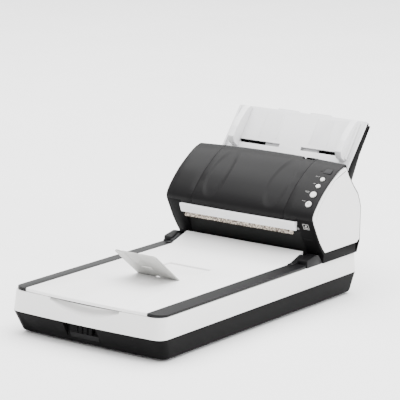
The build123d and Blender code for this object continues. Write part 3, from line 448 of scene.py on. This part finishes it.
def hit_spot(tree, x, y, z, direction):
    """Plane lying on the surface that a ray meets, with its normal turned back toward the ray's start."""
    place, normal, _, _ = tree.ray_cast(at(x, y, z), Vector(direction))
    return plane_at(place, -normal if normal.dot(Vector(direction)) > 0 else normal)


# ------------------------------------------------------------------ document pad and static brush
def document_pad():
    """White foam sheet with rolled edges, slightly quilted by its glue lines."""
    (x0, y0, z0), (x1, y1, z1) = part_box("document_pad")
    nx, ny = 56, 76
    roll_height, roll_width, top_share = 0.0018, 0.0045, 0.4
    quilt_depth, quilt_rows, quilt_margin = 0.00018, 4, 0.02
    bm = bmesh.new()
    top, bottom = [], []
    for j in range(ny + 1):
        for i in range(nx + 1):
            u, v = i / nx, j / ny
            x, y = x0 + (x1 - x0) * u, y0 + (y1 - y0) * v
            rim = min(u * (x1 - x0), (1 - u) * (x1 - x0), v * (y1 - y0), (1 - v) * (y1 - y0))
            roll = roll_height * max(0.0, 1 - rim / roll_width) ** 2
            sink = quilt_depth * (1 - math.cos(2 * math.pi * v * quilt_rows)) * min(1.0, rim / quilt_margin)
            bottom.append(bm.verts.new((x, y, z0 + roll + sink)))
            top.append(bm.verts.new((x, y, z1 - roll * top_share)))
    for j in range(ny):
        for i in range(nx):
            a = j * (nx + 1) + i
            b, c, d = a + 1, a + nx + 2, a + nx + 1
            bm.faces.new((top[a], top[b], top[c], top[d]))
            bm.faces.new((bottom[d], bottom[c], bottom[b], bottom[a]))
    rim_path = list(range(nx))
    rim_path += [j * (nx + 1) + nx for j in range(ny)]
    rim_path += [ny * (nx + 1) + i for i in range(nx, 0, -1)]
    rim_path += [j * (nx + 1) for j in range(ny, 0, -1)]
    for a, b in zip(rim_path, rim_path[1:] + rim_path[:1]):
        bm.faces.new((bottom[a], bottom[b], top[b], top[a]))
    pad = piece("document_pad_foam", bm, "lid", "foam_white", "document_pad", smooth=True)


TRIANGLE = [(math.cos(a), math.sin(a)) for a in (0.0, 2.0944, 4.18879)]


def static_brush():
    """Rows of fine bristles held in a strip behind the light lip."""
    (x0, y0, z0), (x1, y1, z1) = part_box("static_brush")
    front, back, foot = y1 - 0.0019, y1 - 0.0002, z0 + 0.0046
    inset = 0.0005
    holder = bmesh.new()
    profile = ((front, z1), (front, foot), (back, foot), (back, z1))
    add_skin(holder, [[holder.verts.new((x, y, z)) for y, z in profile] for x in (x0 + inset, x1 - inset)])
    piece("brush_holder", holder, "door", "inner_black", bevel=0.2)

    row_places = [0.14 + 0.22 * row for row in range(4)]
    spacing, radius, taper = 0.00052, 0.00024, 0.7
    overhang, root = 0.0024, z0 + 0.0047
    bristles = bmesh.new()
    for row_place in row_places:
        y = y0 + (y1 - y0) * row_place
        for k in range(int((x1 - x0) / spacing)):
            x = x0 + spacing * (k + 0.5) + random.uniform(-0.0001, 0.0001)
            tip = (x + random.uniform(-0.0006, 0.0006), y + random.uniform(-0.0004, 0.0004),
                   z0 - overhang + random.uniform(0.0, 0.0011))
            base = [bristles.verts.new((x + radius * c, y + radius * s, root)) for c, s in TRIANGLE]
            end = [bristles.verts.new((tip[0] + radius * taper * c, tip[1] + radius * taper * s, tip[2]))
                   for c, s in TRIANGLE]
            for q in range(3):
                r = (q + 1) % 3
                bristles.faces.new((base[r], base[q], end[q], end[r]))
            bristles.faces.new(end)
    piece("brush_bristles", bristles, "door", "brush_fibre", "static_brush")


# ------------------------------------------------------------------ operator panel
PANEL_X = 134.0
# Each button's y, z and radius, and the spans of the short bars beside it.
BUTTONS = {
    "function": (474.9, 211.6, 4.3, ((-5.5, -2.2), (-0.4, 2.2))),
    "stop": (461.4, 202.3, 4.3, ((-1.6, 2.6),)),
    "scan": (447.1, 190.5, 6.0, ((-5.4, -1.8), (-0.8, 2.6))),
    "power": (433.1, 176.6, 5.7, ((-3.0, 3.4),)),
}
DISPLAY_Y, DISPLAY_Z = 491.2, 221.6


def add_bar(bm, spot, x0, x1, y):
    """A thin printed bar lying on a surface."""
    add_prism(bm, spot, rectangle(x0, x1, y, y + 0.35), -0.2, 0.06)


def panel_marks():
    """Collars round the buttons, and short generic bars beside them and over the small display."""
    tree = surface_of("operator_panel")
    press_axes = {joint["name"]: Vector(joint["axis"]) for joint in frame["record"]["behaviour"]["joints"]}
    marks = bmesh.new()
    collars = bmesh.new()
    for name, (y, z, radius, spans) in BUTTONS.items():
        spot = plane_at(at(PANEL_X, y, z), -press_axes[f"{name}_press"])
        add_ring(collars, spot, radius + 0.3, radius + 0.95, -0.5, 0.22)
        beside = nearest_spot(tree, PANEL_X - radius - 6.0, y + 2.4, z + 2.0)
        for start, end in spans:
            add_bar(marks, beside, start, end, 1.6)
        if name == "scan":
            add_bar(marks, beside, -4.6, 1.8, -0.4)
    over_window = nearest_spot(tree, PANEL_X - 8.0, 497.5, 223.6)
    for x in (-3.4, -0.8, 1.8):
        add_bar(marks, over_window, x, x + 1.6, 0.0)
    piece("panel_marks", marks, "base", "stopper_grey")
    piece("button_collars", collars, "base", "window_black", bevel=0.15)


def display_recess_shadow():
    """Thin dark half ring painted as the shadow under the overhanging top edge of the display window's
    recess, with a small dark lens beside it.
    """
    tree = surface_of("operator_panel")
    spot = nearest_spot(tree, PANEL_X, DISPLAY_Y, DISPLAY_Z)
    outline = bmesh.new()
    # Painted shadow: a flush near-black half ring along the top edge of the window's recess.
    add_ring(outline, spot @ Matrix.Translation((0, 0.0025, 0)), 7.05, 8.1, -0.5, 0.12, -8, 188, 28)
    piece("display_recess_shadow", outline, "base", "inner_black")
    lens = bmesh.new()
    lens_spot = nearest_spot(tree, PANEL_X - 12.5, DISPLAY_Y, DISPLAY_Z)
    add_prism(lens, lens_spot, rectangle(-2.6, 2.2, -1.4, 1.4, 1.2), -0.4, 0.3)
    piece("display_lens", lens, "base", "inner_black")


def power_symbol():
    """Ring with a bar on the power button's cap."""
    y, z, _, _ = BUTTONS["power"]
    spot = nearest_spot(surface_of("power_button"), PANEL_X, y - 4, z + 4)
    symbol = bmesh.new()
    add_ring(symbol, spot, 1.5, 1.95, -0.2, 0.08, 120, 420, 24)
    add_prism(symbol, spot, rectangle(-0.22, 0.22, 0.2, 2.2), -0.2, 0.08)
    piece("power_symbol", symbol, "power_button_body", "bracket_grey")


# ------------------------------------------------------------------ casing, pillar, rear and underside
def lock_plate():
    """Grey plate on the sill under the transport lock, with a small dark triangle painted as the shade of
    its pointer notch.
    """
    lean = math.atan2(3.0, 9.5)
    spot = plane_at(at(-4.5, 13.4, 17.8), (0, -math.cos(lean), -math.sin(lean)))
    plate = bmesh.new()
    add_prism(plate, spot, rectangle(-28.0, 28.0, -4.2, 4.6, 0.8), -0.2, 0.6)
    piece("lock_plate", plate, "base", "bracket_grey", bevel=0.3)
    # Painted shade: a dark triangle for the pointer notch.
    mark = bmesh.new()
    add_prism(mark, spot, [(-2.6, 2.6), (0.0, -0.6), (2.6, 2.6)], 0.4, 0.7)
    piece("lock_notch_shade", mark, "base", "inner_black")


def pillar_plate():
    """Small square plate with a generic sheet mark, and dark strips under it painted as the shade of a thin
    slot, on the right pillar.
    """
    tree = surface_of("feeder_base_cover")
    spot = hit_spot(tree, 133.5, 380, 139, (0, 1, 0))
    plate = bmesh.new()
    add_prism(plate, spot, rectangle(-7.0, 7.0, -7.0, 7.0, 1.0), -0.3, 0.25)
    piece("pillar_plate", plate, "base", "bracket_grey")
    mark = bmesh.new()
    sheet_frame = (rectangle(-5.6, 5.6, 5.0, 5.6), rectangle(-5.6, 5.6, -5.6, -5.0),
                   rectangle(-5.6, -5.0, -5.0, 5.0), rectangle(5.0, 5.6, -5.0, 5.0))
    sheets = (rectangle(-3.0, 3.0, -3.0, -1.6), [(-2.4, 0.2), (0.8, 0.2), (2.8, 3.0), (-0.4, 3.0)])
    for outline in sheet_frame + sheets:
        add_prism(mark, spot, outline, -0.1, 0.4)
    piece("pillar_mark", mark, "base", "stopper_grey")
    low_spot = hit_spot(tree, 130.0, 380, 113, (0, 1, 0))
    # Painted shade: near-black strips for the dark inside of the slot.
    slot_shade_lines = bmesh.new()
    for height in (0.0, 2.6):
        add_prism(slot_shade_lines, low_spot, rectangle(-8.5, 8.5, height, height + 0.6), -0.3, 0.12)
    piece("pillar_slot_shades", slot_shade_lines, "base", "inner_black")


def rear_screws():
    """Cross-head screws in the rear cover, their cross recesses drawn as black crosses of painted shade."""
    tree = surface_of("rear_cover")
    heads = bmesh.new()
    crosses = bmesh.new()
    for x in (-112.0, 112.0):
        for z in (98.0, 140.0):
            spot = hit_spot(tree, x, 640, z, (0, -1, 0))
            add_prism(heads, spot, circle(3.4), -0.6, 0.5)
            add_prism(heads, spot, circle(2.6), 0.5, 1.0)
            # Painted shade: black crosses for the dark inside of the cross recesses.
            for outline in (rectangle(-1.7, 1.7, -0.3, 0.3), rectangle(-0.3, 0.3, -1.7, 1.7)):
                add_prism(crosses, spot, outline, 0.4, 1.06)
    piece("rear_screws", heads, "base", "steel", bevel=0.25)
    piece("rear_screw_cross_shades", crosses, "base", "inner_black")


def rating_plate():
    """Plain plate with generic lines under the casing."""
    spot = hit_spot(surface_of("base_pan"), 0, 300, -50, (0, 0, 1))
    label = bmesh.new()
    add_prism(label, spot, rectangle(-42, 42, -22, 22, 2.5), -0.1, 0.15)
    piece("rating_plate", label, "base", "rail_grey")
    lines = bmesh.new()
    for k in range(6):
        y = -15 + 6 * k
        add_prism(lines, spot, rectangle(-36, 36 - 7 * (k % 3), y, y + 0.8), 0.1, 0.2)
    piece("rating_lines", lines, "base", "light_plastic")


def tab_ribs():
    """Three grip ribs on the release tab."""
    tree = surface_of("release_tab")
    ribs = bmesh.new()
    for x in (71.0, 77.0, 83.0):
        spot = hit_spot(tree, x, 522.0, 300, (0, 0, -1))
        add_prism(ribs, spot, rectangle(-0.7, 0.7, -2.6, 2.0, 0.5), -0.4, 0.5)
    piece("tab_ribs", ribs, "tab", "inner_black", bevel=0.2)


# The groove's y and z from the chute's foot down to the front.
SIDE_LINE = ((523.5, 220.5), (491.5, 210.1), (470.5, 195.5), (449.5, 176.5), (437.0, 160.5), (435.0, 150.5))


def side_groove_shades():
    """Dark strip painted as the shade in the shallow groove along the parting line of each white side
    cover.
    """
    half_width, sunk, proud = 0.0003, -0.0003, 0.00006
    section = ((-1, sunk), (1, sunk), (1, proud), (-1, proud))
    for name, side in SIDES:
        tree = surface_of(f"side_cover_{name}")
        hits = [tree.ray_cast(at(side * 200, y, z), Vector((-side, 0, 0)))[0] for y, z in SIDE_LINE]
        places = [place for place in hits if place is not None]
        bm = bmesh.new()
        for near, far in zip(places, places[1:]):
            run = Vector((0, far.y - near.y, far.z - near.z)).normalized()
            across = Vector((0, -run.z, run.y)) * half_width
            add_skin(bm, [[bm.verts.new(middle + across * sign + Vector((side * lift, 0, 0)))
                           for sign, lift in section] for middle in (near, far)])
        turn_outward(bm)
        # Painted shade: a near-black strip along the groove.
        piece(f"side_groove_shade_{name}", bm, "base", "rail_grey")


def cover_shadow_strip():
    """Dark strip painted as the shadow under the front edge of the document cover, above the finger scoop.
    """
    half_length, step = 72.0, 3.0
    front, back, top = 0.3, 2.2, -1.2
    tree = surface_of("lid_panel")
    bm = bmesh.new()
    rows = []
    for k in range(49):
        x = -half_length + step * k
        place, _, _, _ = tree.ray_cast(at(x, -40, 75.2), Vector((0, 1, 0)))
        foot = -2.6 - 1.1 * (1 - (x / half_length) ** 2)
        rows.append([bm.verts.new(place + Vector((0, y * MM, z * MM)))
                     for y, z in ((front, top), (back, top), (back, foot), (front, foot))])
    add_skin(bm, rows)
    turn_outward(bm)
    # Painted shadow under the cover's front edge.
    piece("lid_edge_painted_shadow", bm, "lid", "rail_grey")


# ------------------------------------------------------------------ chute
CHUTE_SLOPE = math.radians(53.3)
CHUTE_FOOT_Y, CHUTE_FOOT_Z = 571.0, 225.1


def chute_place(x, along, out):
    """A point on the chute: along is up the slope, out is in front of the paper."""
    y = CHUTE_FOOT_Y + along * math.cos(CHUTE_SLOPE) - out * math.sin(CHUTE_SLOPE)
    z = CHUTE_FOOT_Z + along * math.sin(CHUTE_SLOPE) + out * math.cos(CHUTE_SLOPE)
    return at(x, y, z)


def guide_steps():
    """Low stepped skirt along the outer foot of each side guide."""
    for name, side in SIDES:
        inner, outer = 117.0 * side, 120.0 * side
        section = ((inner, 0.4), (outer, 0.4), (outer, 2.2), (inner + 0.8 * side, 4.4), (inner, 4.4))
        bm = bmesh.new()
        add_skin(bm, [[bm.verts.new(chute_place(x, along, out)) for x, out in section]
                      for along in (3.0, 75.0)])
        turn_outward(bm)
        piece(f"guide_skirt_{name}", bm, f"side_guide_{name}_body", "guide_grey", bevel=0.4, segments=3)


def chute_wedges():
    """Dark tapering web behind each cheek of the chute."""
    outline = ((76.0, -5.0), (-24.0, -18.6), (-27.0, -12.6), (60.0, -6.2))
    for name, side in SIDES:
        bm = bmesh.new()
        add_skin(bm, [[bm.verts.new(chute_place(x * side, along, out)) for along, out in outline]
                      for x in (130.1, 132.2)])
        turn_outward(bm)
        piece(f"chute_wedge_{name}", bm, "base", "charcoal_plastic", bevel=0.3)


# ------------------------------------------------------------------ stage, lights and camera
def light(name, size, energy, place, aim):
    data = bpy.data.lights.new(name, "AREA")
    data.shape = "RECTANGLE"
    data.size, data.size_y = size
    data.energy = energy
    lamp = bpy.data.objects.new(name, data)
    lamp.location = place
    lamp.rotation_euler = (Vector(aim) - Vector(place)).to_track_quat("-Z", "Y").to_euler()
    bpy.context.scene.collection.objects.link(lamp)


def floor():
    half = 6.0
    mesh = bpy.data.meshes.new("floor")
    corners = [(-half, -half, 0), (half, -half, 0), (half, half, 0), (-half, half, 0)]
    mesh.from_pydata(corners, [], [(0, 1, 2, 3)])
    ground = bpy.data.objects.new("floor", mesh)
    bpy.context.scene.collection.objects.link(ground)
    material, tree, shader = new_material("studio_floor")
    cloud = object_noise(tree, scale=3.0)
    tint = ramp(tree, cloud.outputs["Fac"], [(0.3, grey(0.90)), (0.7, grey(0.93))])
    link(tree, tint, shader.inputs["Base Color"])
    shader.inputs["Roughness"].default_value = 0.8
    mesh.materials.append(material)


def world():
    scene_world = bpy.data.worlds.new("studio")
    scene_world.use_nodes = True
    background = scene_world.node_tree.nodes["Background"]
    background.inputs["Color"].default_value = grey(1.0)
    background.inputs["Strength"].default_value = 1.6
    bpy.context.scene.world = scene_world


def camera():
    """Long lens from the front right, a little above the scanner, turned in radians."""
    yaw, pitch, roll = -0.61525, -0.21714, 0.0170
    place = at(2074.3, -2624.0, 978.7)
    forward = Vector((math.sin(yaw) * math.cos(pitch), math.cos(yaw) * math.cos(pitch), math.sin(pitch)))
    right = forward.cross(Vector((0, 0, 1))).normalized()
    up = right.cross(forward)
    right_rolled = right * math.cos(roll) + up * math.sin(roll)
    up_rolled = up * math.cos(roll) - right * math.sin(roll)
    data = bpy.data.cameras.new("camera")
    data.sensor_width = 36.0
    data.lens = 201.26
    data.clip_end = 50.0
    view = bpy.data.objects.new("camera", data)
    rows = Matrix((right_rolled, up_rolled, -forward)).transposed()
    view.matrix_world = Matrix.Translation(place) @ rows.to_4x4()
    bpy.context.scene.collection.objects.link(view)
    bpy.context.scene.camera = view


document_pad()
static_brush()
panel_marks()
display_recess_shadow()
lock_plate()
pillar_plate()
guide_steps()
rear_screws()
rating_plate()
tab_ribs()
side_groove_shades()
cover_shadow_strip()
chute_wedges()
power_symbol()
floor()
world()
light("overhead", (6.0, 6.0), 700.0, (-0.4, 0.8, 4.0), (-0.3, 0.6, 0.0))
light("key", (1.4, 1.4), 34.0, (2.3, 0.1, 1.3), (0.0, 0.1, 0.1))
light("fill", (1.2, 1.2), 2.0, (-1.6, -1.6, 1.4), (0.0, 0.0, 0.1))
camera()
